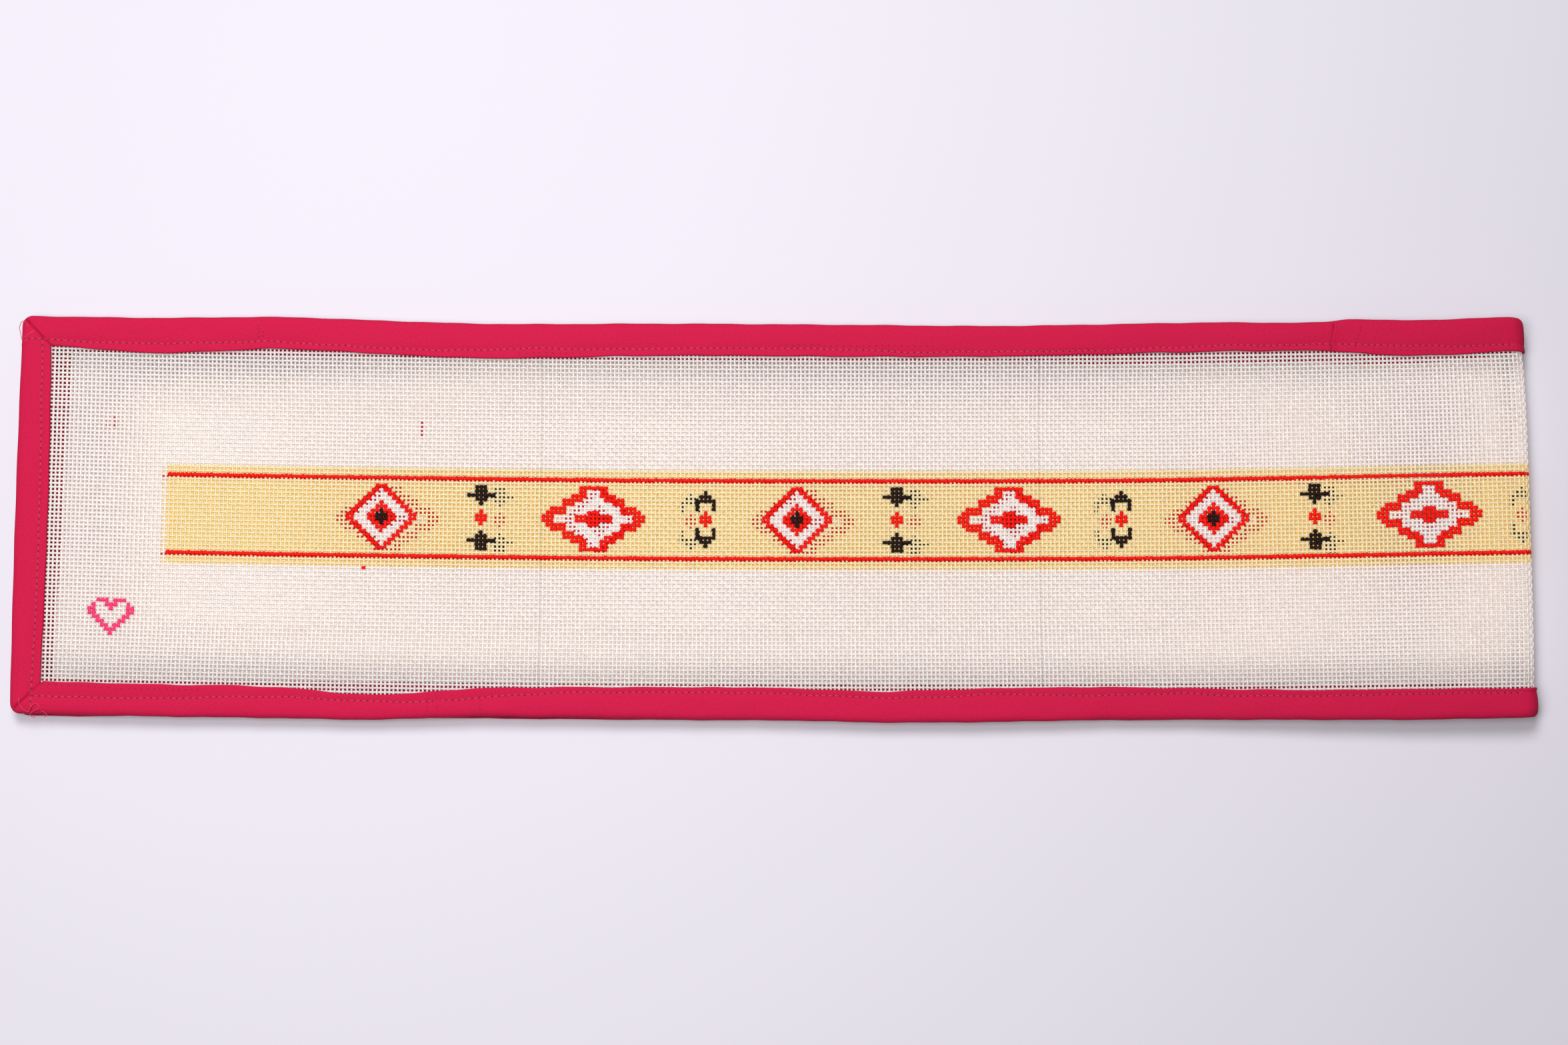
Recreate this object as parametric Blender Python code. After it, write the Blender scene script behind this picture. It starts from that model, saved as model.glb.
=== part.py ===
"""Needlepoint canvas panel: a long strip of mono canvas, bound all round with cotton tape and folded in half.

+X runs along the strip to the fold, +Y across it and +Z up from the surface that it rests on. The origin
is under the middle of the folded panel. Sizes are in millimetres, and on_panel() turns them into metres.
"""

import math
from collections import namedtuple

import bmesh
import bpy

MILLIMETRE = 0.001

# Sheet and tape thickness, and the gap that touching pieces keep
CANVAS_THICK = 1.0
TAPE_THICK = 1.0
GAP = 0.3
BOUND_HALF = CANVAS_THICK / 2 + GAP + TAPE_THICK
CANVAS_INSET = 2.0

# The fold: the lower leaf lies on the surface, the upper one on it, and it rises to a soft round fold
LOWER_Z = BOUND_HALF
UPPER_Z = 3 * BOUND_HALF + GAP
FOLD_RADIUS = 3.9
FOLD_TOP_X = 251.6
FOLD_TOP_Z = LOWER_Z + 2 * FOLD_RADIUS
FOLD_LENGTH = math.pi * FOLD_RADIUS
RISE_START_X = 113.0

# The tape pulls the fold in at both long edges, over the last stretch of the leaves
FAR_PULL = 2.2
NEAR_PULL = 1.0
PULL_START_X = 190.0
HALF_WIDTH = 68.0

# The long edges bow towards the near side along the middle
BOW_DEPTH = 2.3
BOW_MIDDLE_X = 38.5
BOW_REACH = 235.0
BOW_SHIFT = -0.6

# The upper leaf's unevenness: a slow wave all over, and a sag of the canvas between the tapes
WAVE_HEIGHT = 0.5
WAVE_LENGTH = 150.0
WAVE_SLANT = 60.0
SAG = 1.3
SAG_HALF_WIDTH = 52.0
SAG_EDGE = 30.0
FLAT_END = 12.0
UNEVEN_START = 40.0

# The cut end of each leaf, where the panel's left side is: x of the tape's outer edge
UPPER_END_X = -256.8
LOWER_END_X = -253.3
LOWER_END_SKEW = 1.8
END_BULGE = 0.45
END_FRONT_WIDTH = 10.3
END_FRONT_BULGE = 1.0
END_FRONT_REACH = 56.0
END_BACK_WIDTH = 11.5
CORNER_RADIUS = 3.4

# Where two lengths of tape meet on the upper leaf
FAR_JOINT_X = 190.0
NEAR_JOINT_X = -112.8
JOINT_SLANT = 1.2

# Long tapes on the upper leaf: distance of the outer edge from the bowed middle line, and tape width on
# the canvas's face and on its back, at places along the leaf
Tape = namedtuple("Tape", "x outer front back")
FAR_TAPE = (
    Tape(-246, 66.3, 10.2, 11.5),
    Tape(-210, 66.6, 12.3, 12.4),
    Tape(-169, 67.6, 11.2, 13.6),
    Tape(-134, 66.9, 11.7, 12.9),
    Tape(-98, 66.3, 12.1, 12.3),
    Tape(-37, 66.9, 11.2, 12.9),
    Tape(34, 66.6, 11.1, 12.7),
    Tape(74, 66.3, 10.7, 12.5),
    Tape(145, 66.9, 10.3, 14.7),
    Tape(186, 66.3, 10.0, 14.2),
    Tape(196, 67.2, 11.7, 15.4),
    Tape(216, 66.4, 12.4, 15.0),
    Tape(252, 66.8, 11.9, 12.8),
)
NEAR_TAPE = (
    Tape(-246, 69.0, 11.0, 12.0),
    Tape(-210, 69.0, 10.8, 12.0),
    Tape(-169, 68.8, 10.5, 11.7),
    Tape(-134, 68.8, 8.4, 11.8),
    Tape(-98, 67.3, 9.5, 11.2),
    Tape(-37, 67.6, 10.7, 11.5),
    Tape(3, 67.8, 10.8, 11.2),
    Tape(34, 68.5, 10.4, 11.6),
    Tape(74, 68.4, 11.3, 11.5),
    Tape(115, 67.8, 10.9, 11.1),
    Tape(175, 68.4, 10.0, 11.2),
    Tape(216, 68.9, 10.3, 11.4),
    Tape(252, 68.8, 9.9, 11.2),
)
# The same tapes on the lower leaf, by distance from the fold
FAR_TAPE_BELOW = (
    Tape(0, 66.8, 11.9, 12.8),
    Tape(60, 66.2, 11.0, 12.0),
    Tape(490, 66.2, 11.0, 12.0),
)
NEAR_TAPE_BELOW = (
    Tape(0, 68.8, 9.9, 11.2),
    Tape(60, 68.1, 11.0, 12.0),
    Tape(430, 68.1, 11.0, 12.0),
    Tape(490, 69.6, 11.0, 12.0),
)

# Steps along the panel, finer at the corners and round the fold
UPPER_STEP = 15.0
LOWER_STEP = 28.0
FOLD_STEPS = 10
END_STEP = 18.0
CORNER_STEPS = (0.0, 0.8, 1.7, 2.8, 5.5)
FITTED_END = 40.0
CANVAS_LANES = (0.0, 0.1, 0.25, 0.5, 0.75, 0.9, 1.0)
ARC_STEPS = 6

CANVAS_COLOUR = (0.90, 0.87, 0.86, 1.0)
TAPE_COLOUR = (0.68, 0.012, 0.09, 1.0)
COTTON_ROUGHNESS = 0.85


def ease(value):
    """A smooth step from 0 to 1."""
    value = min(max(value, 0.0), 1.0)
    return value * value * (3 - 2 * value)


def along(table, place, column):
    """One column of a table at a place between its rows, on a smooth curve through them."""
    rows = [(row[0], getattr(row, column)) for row in table]
    if place <= rows[0][0]:
        return rows[0][1]
    if place >= rows[-1][0]:
        return rows[-1][1]
    k = next(i for i in range(len(rows) - 1) if place <= rows[i + 1][0])

    def slope(i):
        before = rows[max(i - 1, 0)]
        after = rows[min(i + 1, len(rows) - 1)]
        return (after[1] - before[1]) / (after[0] - before[0])

    (x0, y0), (x1, y1) = rows[k], rows[k + 1]
    width = x1 - x0
    u = (place - x0) / width
    bend = (1 + 2 * u) * (1 - u) ** 2 * y0 + u * u * (3 - 2 * u) * y1
    return bend + width * (u * (1 - u) ** 2 * slope(k) - u * u * (1 - u) * slope(k + 1))


def tape_at(side, run, column):
    """A long tape's outer edge or width at a place on the run. side is 1 for far and -1 for near."""
    if run <= FOLD_TOP_X:
        return along(FAR_TAPE if side > 0 else NEAR_TAPE, run, column)
    below = max(run - FOLD_TOP_X - FOLD_LENGTH, 0.0)
    return along(FAR_TAPE_BELOW if side > 0 else NEAR_TAPE_BELOW, below, column)


def upper_height(x, across):
    """Height of the upper leaf's middle surface."""
    rise = ease((x - RISE_START_X) / (FOLD_TOP_X - RISE_START_X))
    off_end = ease((x - UPPER_END_X - FLAT_END) / UNEVEN_START)
    wave = 0.5 + 0.5 * math.sin(2 * math.pi * x / WAVE_LENGTH + across / WAVE_SLANT)
    sag = SAG * ease((SAG_HALF_WIDTH - abs(across)) / SAG_EDGE)
    uneven = (WAVE_HEIGHT * wave - sag) * off_end * (1 - rise)
    return UPPER_Z + (FOLD_TOP_Z - UPPER_Z) * rise + uneven


def on_panel(run, across, out):
    """World point of the folded panel. run goes from the left end along the upper leaf, round the fold and
    back along the lower leaf; across is from the bowed middle line to the far side; out is from the
    canvas's middle surface to its face."""
    if run <= FOLD_TOP_X:
        x = run
        z = upper_height(run, across) + out
    elif run < FOLD_TOP_X + FOLD_LENGTH:
        turn = (run - FOLD_TOP_X) / FOLD_RADIUS
        x = FOLD_TOP_X + (FOLD_RADIUS + out) * math.sin(turn)
        z = LOWER_Z + FOLD_RADIUS + (FOLD_RADIUS + out) * math.cos(turn)
    else:
        x = 2 * FOLD_TOP_X + FOLD_LENGTH - run
        z = LOWER_Z - out
    pull = (FAR_PULL if across > 0 else NEAR_PULL) * (across / HALF_WIDTH) ** 4
    y = across + BOW_SHIFT + BOW_DEPTH * ((x - BOW_MIDDLE_X) / BOW_REACH) ** 2
    x -= pull * ease((x - PULL_START_X) / (FOLD_TOP_X - PULL_START_X))
    return (x * MILLIMETRE, y * MILLIMETRE, z * MILLIMETRE)


def below_run(x):
    """Place on the run of a point of the lower leaf."""
    return 2 * FOLD_TOP_X + FOLD_LENGTH - x


def end_edge(upper, across):
    """x of the tape's outer edge at the cut end of a leaf."""
    bulge = END_BULGE * (across / HALF_WIDTH) ** 2
    if upper:
        return UPPER_END_X + bulge
    return LOWER_END_X + LOWER_END_SKEW * across / HALF_WIDTH + bulge


def corner_drop(distance):
    """How far a long or short edge falls back at a rounded corner, this far from the other edge."""
    if distance >= CORNER_RADIUS:
        return 0.0
    reach = CORNER_RADIUS - max(distance, 0.0)
    return CORNER_RADIUS - math.sqrt(CORNER_RADIUS**2 - reach**2)


def mitre(inset):
    """Distance of a mitre from the other edge, for a point this far in from its own rounded edge."""
    half_gap = GAP / math.sqrt(2)
    if inset >= CORNER_RADIUS:
        return inset + half_gap
    return inset + (CORNER_RADIUS - inset) * (1 - math.sqrt(0.5)) + half_gap


def tape_section():
    """The tape's section round the canvas edge, as (lip, inset, out). A lip is the place of a tape's inner
    edge, front or back; elsewhere inset is the distance from the outer edge."""
    inner = CANVAS_THICK / 2 + GAP
    points = [("front", 0.0, inner), ("front", 0.0, BOUND_HALF)]
    for k in range(ARC_STEPS + 1):
        turn = math.pi / 2 - math.pi * k / ARC_STEPS
        points.append((None, BOUND_HALF * (1 - math.cos(turn)), BOUND_HALF * math.sin(turn)))
    points += [("back", 0.0, -BOUND_HALF), ("back", 0.0, -inner)]
    points += [(None, TAPE_THICK, -inner), (None, TAPE_THICK, inner)]
    return points


def steps(length, step, fine_start, fine_stop):
    """Shares of a length, one step apart and finer at the ends that turn a corner."""
    places = {0.0, length}
    count = max(round(length / step), 1)
    places.update(length * k / count for k in range(count + 1))
    if fine_start:
        places = {p for p in places if p > CORNER_STEPS[-1]} | set(CORNER_STEPS)
    if fine_stop:
        ends = {length - s for s in CORNER_STEPS}
        places = {p for p in places if p < length - CORNER_STEPS[-1]} | ends
    return [p / length for p in sorted(places)]


def run_steps(start, stop, fine_start, fine_stop):
    """Places on the run from start to stop, with the fold's own steps."""
    fold_end = FOLD_TOP_X + FOLD_LENGTH
    places = []
    if start < FOLD_TOP_X:
        top = min(stop, FOLD_TOP_X)
        shares = steps(top - start, UPPER_STEP, fine_start, fine_stop and stop <= FOLD_TOP_X)
        places += [start + (top - start) * s for s in shares]
    if stop > fold_end:
        places += [FOLD_TOP_X + FOLD_LENGTH * k / FOLD_STEPS for k in range(1, FOLD_STEPS)]
        shares = steps(stop - fold_end, LOWER_STEP, False, fine_stop)
        places += [fold_end + (stop - fold_end) * s for s in shares]
    return places


def loft(name, rings, colour):
    """A closed body through rings of points, with its first and last rings filled."""
    mesh = bmesh.new()
    rows = [[mesh.verts.new(point) for point in ring] for ring in rings]
    count = len(rows[0])
    for one, other in zip(rows, rows[1:]):
        for j in range(count):
            k = (j + 1) % count
            mesh.faces.new((one[j], one[k], other[k], other[j]))
    mesh.faces.new(rows[0])
    mesh.faces.new(reversed(rows[-1]))
    bmesh.ops.recalc_face_normals(mesh, faces=mesh.faces)
    if mesh.calc_volume(signed=True) < 0:
        bmesh.ops.reverse_faces(mesh, faces=mesh.faces)
    data = bpy.data.meshes.new(name)
    mesh.to_mesh(data)
    mesh.free()
    body = bpy.data.objects.new(name, data)
    bpy.context.collection.objects.link(body)
    material = bpy.data.materials.new(name + "_cotton")
    material.use_nodes = True
    shader = material.node_tree.nodes["Principled BSDF"]
    shader.inputs["Base Color"].default_value = colour
    shader.inputs["Roughness"].default_value = COTTON_ROUGHNESS
    shader.inputs["Metallic"].default_value = 0.0
    data.materials.append(material)
    return body


def joint_shift(lip, inset):
    """How far a slanted joint between two lengths of tape is from its middle, along the run."""
    share = 1.0 if lip else inset / END_FRONT_WIDTH
    return JOINT_SLANT * (0.5 - share)


def long_tape_end(side, place, lip, inset, upper):
    """Place on the run where one point of a long tape's section ends, at a mitre or at a joint."""
    if place == "corner":
        corner = end_edge(upper, side * HALF_WIDTH)
        run = corner if upper else below_run(corner)
        reach = mitre(tape_at(side, run, lip) if lip else inset)
        return run + (reach if upper else -reach)
    half_gap = GAP / 2 if upper else -GAP / 2
    return place + half_gap + joint_shift(lip, inset)


def long_tape(name, side, start, stop):
    """A length of tape along a long edge. start is the upper leaf's corner or an x where two lengths meet,
    and stop is such an x or the lower leaf's corner."""
    section = tape_section()
    first = [long_tape_end(side, start, lip, inset, True) for lip, inset, _ in section]
    last = [long_tape_end(side, stop, lip, inset, False) for lip, inset, _ in section]
    upper_corner = end_edge(True, side * HALF_WIDTH)
    lower_corner = below_run(end_edge(False, side * HALF_WIDTH))
    base = run_steps(min(first), max(last), start == "corner", stop == "corner")
    rings = []
    for place in base:
        ring = []
        for (lip, inset, out), low, high in zip(section, first, last):
            run = fitted(place, base[0], base[-1], low, high)
            outer = tape_at(side, run, "outer") - corner_drop(run - upper_corner)
            outer -= corner_drop(lower_corner - run)
            depth = tape_at(side, run, lip) if lip else inset
            ring.append(on_panel(run, side * (outer - depth), out))
        rings.append(ring)
    return loft(name, rings, TAPE_COLOUR)


def fitted(place, start, stop, low, high):
    """A place between start and stop, moved so that a ring's ends reach low and high. Only the stretches
    next to the ends move, and the fold's rings stay square."""
    reach = min(FITTED_END, (stop - start) / 2)
    shift = (low - start) * max(0.0, 1 - (place - start) / reach)
    shift += (high - stop) * max(0.0, 1 - (stop - place) / reach)
    return place + shift


def end_tape_depth(lip, inset, across):
    """Distance of one point of an end tape's section from its outer edge."""
    if lip == "front":
        return END_FRONT_WIDTH + END_FRONT_BULGE * max(0.0, 1 - (across / END_FRONT_REACH) ** 2)
    return END_BACK_WIDTH if lip else inset


def end_tape(name, upper):
    """The tape across the cut end of a leaf, mitred into the long tapes."""
    section = tape_section()
    run = UPPER_END_X if upper else below_run(LOWER_END_X)
    near = -tape_at(-1, run, "outer")
    far = tape_at(1, run, "outer")
    first = [near + mitre(end_tape_depth(lip, inset, near)) for lip, inset, _ in section]
    last = [far - mitre(end_tape_depth(lip, inset, far)) for lip, inset, _ in section]
    start = min(first)
    stop = max(last)
    rings = []
    for share in steps(stop - start, END_STEP, True, True):
        ring = []
        for (lip, inset, out), low, high in zip(section, first, last):
            across = fitted(start + (stop - start) * share, start, stop, low, high)
            edge = end_edge(upper, across) + corner_drop(across - near) + corner_drop(far - across)
            x = edge + end_tape_depth(lip, inset, across)
            ring.append(on_panel(x if upper else below_run(x), across, out))
        rings.append(ring)
    return loft(name, rings, TAPE_COLOUR)


def canvas():
    """The canvas: one sheet along the upper leaf, round the fold and back along the lower one."""
    start = UPPER_END_X
    stop = below_run(LOWER_END_X)
    rings = []
    outline = [(lane, 1) for lane in CANVAS_LANES] + [(lane, -1) for lane in reversed(CANVAS_LANES)]
    base = run_steps(start + CANVAS_INSET, stop - CANVAS_INSET, False, False)
    for place in base:
        ring = []
        for lane, face in outline:
            edges = [-tape_at(-1, place, "outer") + CANVAS_INSET, tape_at(1, place, "outer") - CANVAS_INSET]
            across = edges[0] + (edges[1] - edges[0]) * lane
            low = end_edge(True, across) + CANVAS_INSET
            high = below_run(end_edge(False, across) + CANVAS_INSET)
            run = fitted(place, base[0], base[-1], low, high)
            ring.append(on_panel(run, across, face * CANVAS_THICK / 2))
        rings.append(ring)
    return loft("canvas", rings, CANVAS_COLOUR)


def build():
    for item in list(bpy.context.scene.objects):
        bpy.data.objects.remove(item)
    canvas()
    long_tape("far_tape_left", 1, "corner", FAR_JOINT_X)
    long_tape("far_tape_right", 1, FAR_JOINT_X, "corner")
    long_tape("near_tape_left", -1, "corner", NEAR_JOINT_X)
    long_tape("near_tape_right", -1, NEAR_JOINT_X, "corner")
    end_tape("end_tape_upper", True)
    end_tape("end_tape_lower", False)


build()
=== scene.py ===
"""Looks for the needlepoint canvas panel: the woven canvas with its painted band, the cotton binding tape
with its top-stitching, and the loose thread ends. Sizes are in millimetres, and on_panel() gives metres.
"""

import math
from collections import namedtuple

import bmesh
import bpy
import numpy as np
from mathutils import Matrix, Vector


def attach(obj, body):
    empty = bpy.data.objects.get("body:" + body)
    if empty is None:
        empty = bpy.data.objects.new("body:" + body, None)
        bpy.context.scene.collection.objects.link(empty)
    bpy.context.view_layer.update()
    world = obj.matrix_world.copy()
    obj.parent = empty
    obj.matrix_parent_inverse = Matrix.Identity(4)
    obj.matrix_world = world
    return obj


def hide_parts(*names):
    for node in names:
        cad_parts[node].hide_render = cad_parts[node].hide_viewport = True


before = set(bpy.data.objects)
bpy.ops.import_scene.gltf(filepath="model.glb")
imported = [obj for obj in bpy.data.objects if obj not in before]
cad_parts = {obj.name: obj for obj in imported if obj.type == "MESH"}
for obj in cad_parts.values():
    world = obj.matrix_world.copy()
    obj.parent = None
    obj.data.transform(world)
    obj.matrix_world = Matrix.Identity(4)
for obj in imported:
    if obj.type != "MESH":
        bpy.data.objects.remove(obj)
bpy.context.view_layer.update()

MILLIMETRE = 0.001

# The folded panel's own sizes, as in the CAD source
LOWER_Z = 1.8
UPPER_Z = 5.7
FOLD_RADIUS = 3.9
FOLD_TOP_X = 251.6
FOLD_TOP_Z = LOWER_Z + 2 * FOLD_RADIUS
FOLD_LENGTH = math.pi * FOLD_RADIUS
FOLD_END = FOLD_TOP_X + FOLD_LENGTH
RISE_START_X = 113.0
FAR_PULL = 2.2
NEAR_PULL = 1.0
PULL_START_X = 190.0
HALF_WIDTH = 68.0
BOW_DEPTH = 2.3
BOW_MIDDLE_X = 38.5
BOW_REACH = 235.0
BOW_SHIFT = -0.6
WAVE_HEIGHT = 0.5
WAVE_LENGTH = 150.0
WAVE_SLANT = 60.0
FLAT_END = 12.0
UNEVEN_START = 40.0
UPPER_END_X = -256.8
LOWER_END_X = -253.3
LOWER_END_SKEW = 1.8
END_BULGE = 0.45
END_FRONT_WIDTH = 10.3
END_FRONT_BULGE = 1.0
END_FRONT_REACH = 56.0
END_BACK_WIDTH = 11.5
CORNER_RADIUS = 3.4
FAR_JOINT_X = 190.0
NEAR_JOINT_X = -112.8
JOINT_SLANT = 1.2

# How far the canvas hangs between its bindings on the upper leaf, and is lifted on the lower one
SAG = 2.7
SAG_HALF_WIDTH = 56.0
SAG_EDGE = 24.0
LOWER_RAISE = 0.6

# Long tapes, as in the CAD source: outer edge from the bowed middle line, and width on face and back
Tape = namedtuple("Tape", "x outer front back")
FAR_TAPE = (
    Tape(-246, 66.3, 10.2, 11.5),
    Tape(-210, 66.6, 12.3, 12.4),
    Tape(-169, 67.6, 11.2, 13.6),
    Tape(-134, 66.9, 11.7, 12.9),
    Tape(-98, 66.3, 12.1, 12.3),
    Tape(-37, 66.9, 11.2, 12.9),
    Tape(34, 66.6, 11.1, 12.7),
    Tape(74, 66.3, 10.7, 12.5),
    Tape(145, 66.9, 10.3, 14.7),
    Tape(186, 66.3, 10.0, 14.2),
    Tape(196, 67.2, 11.7, 15.4),
    Tape(216, 66.4, 12.4, 15.0),
    Tape(252, 66.8, 11.9, 12.8),
)
NEAR_TAPE = (
    Tape(-246, 69.0, 11.0, 12.0),
    Tape(-210, 69.0, 10.8, 12.0),
    Tape(-169, 68.8, 10.5, 11.7),
    Tape(-134, 68.8, 8.4, 11.8),
    Tape(-98, 67.3, 9.5, 11.2),
    Tape(-37, 67.6, 10.7, 11.5),
    Tape(3, 67.8, 10.8, 11.2),
    Tape(34, 68.5, 10.4, 11.6),
    Tape(74, 68.4, 11.3, 11.5),
    Tape(115, 67.8, 10.9, 11.1),
    Tape(175, 68.4, 10.0, 11.2),
    Tape(216, 68.9, 10.3, 11.4),
    Tape(252, 68.8, 9.9, 11.2),
)
FAR_TAPE_BELOW = (
    Tape(0, 66.8, 11.9, 11.0),
    Tape(60, 66.2, 11.0, 12.0),
    Tape(490, 66.2, 11.0, 12.0),
)
NEAR_TAPE_BELOW = (
    Tape(0, 68.8, 9.9, 11.2),
    Tape(60, 68.1, 11.0, 12.0),
    Tape(430, 68.1, 11.0, 12.0),
    Tape(490, 69.6, 11.0, 12.0),
)

# Canvas threads. A column is a thread across the strip, counted from the middle of the first diamond, and
# a row is a thread along it, counted from the middle of the band, so rows are at halves.
ROW_PITCH = 1.402
FAR_ROWS = 42
NEAR_ROWS = 44
FIRST_COLUMN = -81
FOLD_COLUMN = 277
LAST_COLUMN = 632
Column = namedtuple("Column", "number run")
COLUMNS = (
    Column(-81, -247.8),
    Column(-51, -205.5),
    Column(0, -133.3),
    Column(100, 7.85),
    Column(200, 149.1),
    Column(263.2, 238.2),
    Column(276, 257.4),
    Column(280, 264.2),
    Column(345, 356.34),
    Column(632, 761.34),
)
# Each thread's size and crimp, how much wider painted ones are, and how far threads and paint stray
THREAD_HALF_WIDTH = 0.355
THREAD_HALF_HEIGHT = 0.21
PAINTED_SWELL = 1.4
LINE_SWELL = 1.5
CRIMP = 0.2
WANDER = 0.035
WIDTH_SPREAD = 0.04
DRIFT_STEP = 0.25
SHORT_WINDOW = 25
LONG_WINDOW = 61
PAINT_BLEED = 0.12
WEAVE_SEED = 18
# How far the lower leaf's rows lie off the upper one's, towards the far side
LOWER_SHIFT = -0.78
SHIFT_LENGTH = 60.0
# Painted glow on the threads' sides facing into the fold, standing for light caught between the leaves: its share
# beside the tape, where it is dimmed as painted shade, and what is added towards the open fold
EDGE_LIGHT = 0.5
EDGE_LOSS_WIDTH = 12.0
FOLD_GAIN = 0.1
FOLD_GAIN_X = 60.0


def ease(value):
    """A smooth step from 0 to 1."""
    value = np.clip(value, 0.0, 1.0)
    return value * value * (3 - 2 * value)


def along(table, place, column):
    """One column of a table at places between its rows, on a smooth curve through them."""
    x = np.array([row[0] for row in table], float)
    y = np.array([getattr(row, column) for row in table], float)
    slope = np.empty_like(y)
    slope[1:-1] = (y[2:] - y[:-2]) / (x[2:] - x[:-2])
    slope[0] = (y[1] - y[0]) / (x[1] - x[0])
    slope[-1] = (y[-1] - y[-2]) / (x[-1] - x[-2])
    place = np.clip(place, x[0], x[-1])
    k = np.clip(np.searchsorted(x, place, side="right") - 1, 0, len(x) - 2)
    width = x[k + 1] - x[k]
    u = (place - x[k]) / width
    bend = (1 + 2 * u) * (1 - u) ** 2 * y[k] + u * u * (3 - 2 * u) * y[k + 1]
    return bend + width * (u * (1 - u) ** 2 * slope[k] - u * u * (1 - u) * slope[k + 1])


def tape_at(side, run, column):
    """A long tape's outer edge or width at places on the run. side is 1 for far and -1 for near."""
    upper, below = (FAR_TAPE, FAR_TAPE_BELOW) if side > 0 else (NEAR_TAPE, NEAR_TAPE_BELOW)
    on_upper = along(upper, run, column)
    on_lower = along(below, np.maximum(np.asarray(run, float) - FOLD_END, 0.0), column)
    return np.where(np.asarray(run) <= FOLD_TOP_X, on_upper, on_lower)


def upper_height(x, across):
    """Height of the upper leaf's middle surface."""
    rise = ease((x - RISE_START_X) / (FOLD_TOP_X - RISE_START_X))
    off_end = ease((x - UPPER_END_X - FLAT_END) / UNEVEN_START)
    wave = 0.5 + 0.5 * np.sin(2 * np.pi * x / WAVE_LENGTH + across / WAVE_SLANT)
    sag = SAG * ease((SAG_HALF_WIDTH - np.abs(across)) / SAG_EDGE)
    uneven = (WAVE_HEIGHT * wave - sag) * off_end * (1 - rise)
    return UPPER_Z + (FOLD_TOP_Z - UPPER_Z) * rise + uneven


def lower_height(x, across):
    """Height of the lower leaf's middle surface, which the bindings hold off the floor."""
    clear = ease((SAG_HALF_WIDTH - np.abs(across)) / SAG_EDGE) * ease((FOLD_TOP_X - x) / UNEVEN_START)
    return LOWER_Z + LOWER_RAISE * clear * ease((x - LOWER_END_X - FLAT_END) / UNEVEN_START)


def on_panel(run, across, out):
    """World points of the folded panel. run goes from the left end along the upper leaf, round the fold and
    back along the lower leaf; across is from the bowed middle line to the far side; out is from the
    canvas's middle surface to its face."""
    run, across, out = np.broadcast_arrays(*(np.asarray(a, float) for a in (run, across, out)))
    turn = np.clip((run - FOLD_TOP_X) / FOLD_RADIUS, 0, math.pi)
    upper = run <= FOLD_TOP_X
    lower = run >= FOLD_END
    x = FOLD_TOP_X + (FOLD_RADIUS + out) * np.sin(turn)
    x = np.where(upper, run, np.where(lower, 2 * FOLD_TOP_X + FOLD_LENGTH - run, x))
    z = LOWER_Z + FOLD_RADIUS + (FOLD_RADIUS + out) * np.cos(turn)
    z = np.where(upper, upper_height(run, across) + out, np.where(lower, lower_height(x, across) - out, z))
    pull = np.where(across > 0, FAR_PULL, NEAR_PULL) * (across / HALF_WIDTH) ** 4
    y = across + BOW_SHIFT + BOW_DEPTH * ((x - BOW_MIDDLE_X) / BOW_REACH) ** 2
    x = x - pull * ease((x - PULL_START_X) / (FOLD_TOP_X - PULL_START_X))
    return np.stack([x, y, z], axis=-1) * MILLIMETRE


def below_run(x):
    """Place on the run of a point of the lower leaf."""
    return 2 * FOLD_TOP_X + FOLD_LENGTH - x


def column_run(column):
    """Place on the run of a canvas column."""
    return np.interp(column, [c.number for c in COLUMNS], [c.run for c in COLUMNS])


# Painted colours of the canvas, each on its face, and a darker, warmer colour for the thread sides facing into the
# fold: that second colour is painted shade and painted warm bounced light between the leaves
Paint = namedtuple("Paint", "face inside")
PAINTS = (
    Paint((0.96, 0.95, 0.97), (0.80, 0.69, 0.59)),
    Paint((0.97, 0.94, 0.72), (0.74, 0.49, 0.115)),
    Paint((0.88, 0.007, 0.003), (0.26, 0.010, 0.005)),
    Paint((0.013, 0.006, 0.005), (0.013, 0.006, 0.005)),
    Paint((0.90, 0.045, 0.18), (0.62, 0.05, 0.12)),
)
WHITE, YELLOW, RED, BLACK, PINK = range(len(PAINTS))

# The band's chart. Every motif is the same to left and right and to top and bottom, so a line is one row
# of its upper right quarter: a row above the band's middle, and the columns from first to last.
Span = namedtuple("Span", "row paint first last")
DIAMOND = (
    Span(0, BLACK, 0, 1), Span(0, RED, 2, 3), Span(0, WHITE, 4, 6), Span(0, RED, 7, 8),
    Span(1, BLACK, 0, 0), Span(1, RED, 1, 2), Span(1, WHITE, 3, 5), Span(1, RED, 6, 7),
    Span(2, RED, 0, 1), Span(2, WHITE, 2, 4), Span(2, RED, 5, 6),
    Span(3, RED, 0, 0), Span(3, WHITE, 1, 3), Span(3, RED, 4, 5),
    Span(4, WHITE, 0, 2), Span(4, RED, 3, 4),
    Span(5, WHITE, 0, 1), Span(5, RED, 2, 3),
    Span(6, WHITE, 0, 0), Span(6, RED, 1, 2),
    Span(7, RED, 0, 1),
)
CROSS = (
    Span(0, RED, 0, 1), Span(1, RED, 0, 0),
    Span(3, BLACK, 0, 0), Span(4, BLACK, 0, 1), Span(5, BLACK, 0, 3), Span(6, BLACK, 0, 1),
    Span(7, BLACK, 0, 1),
)
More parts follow.
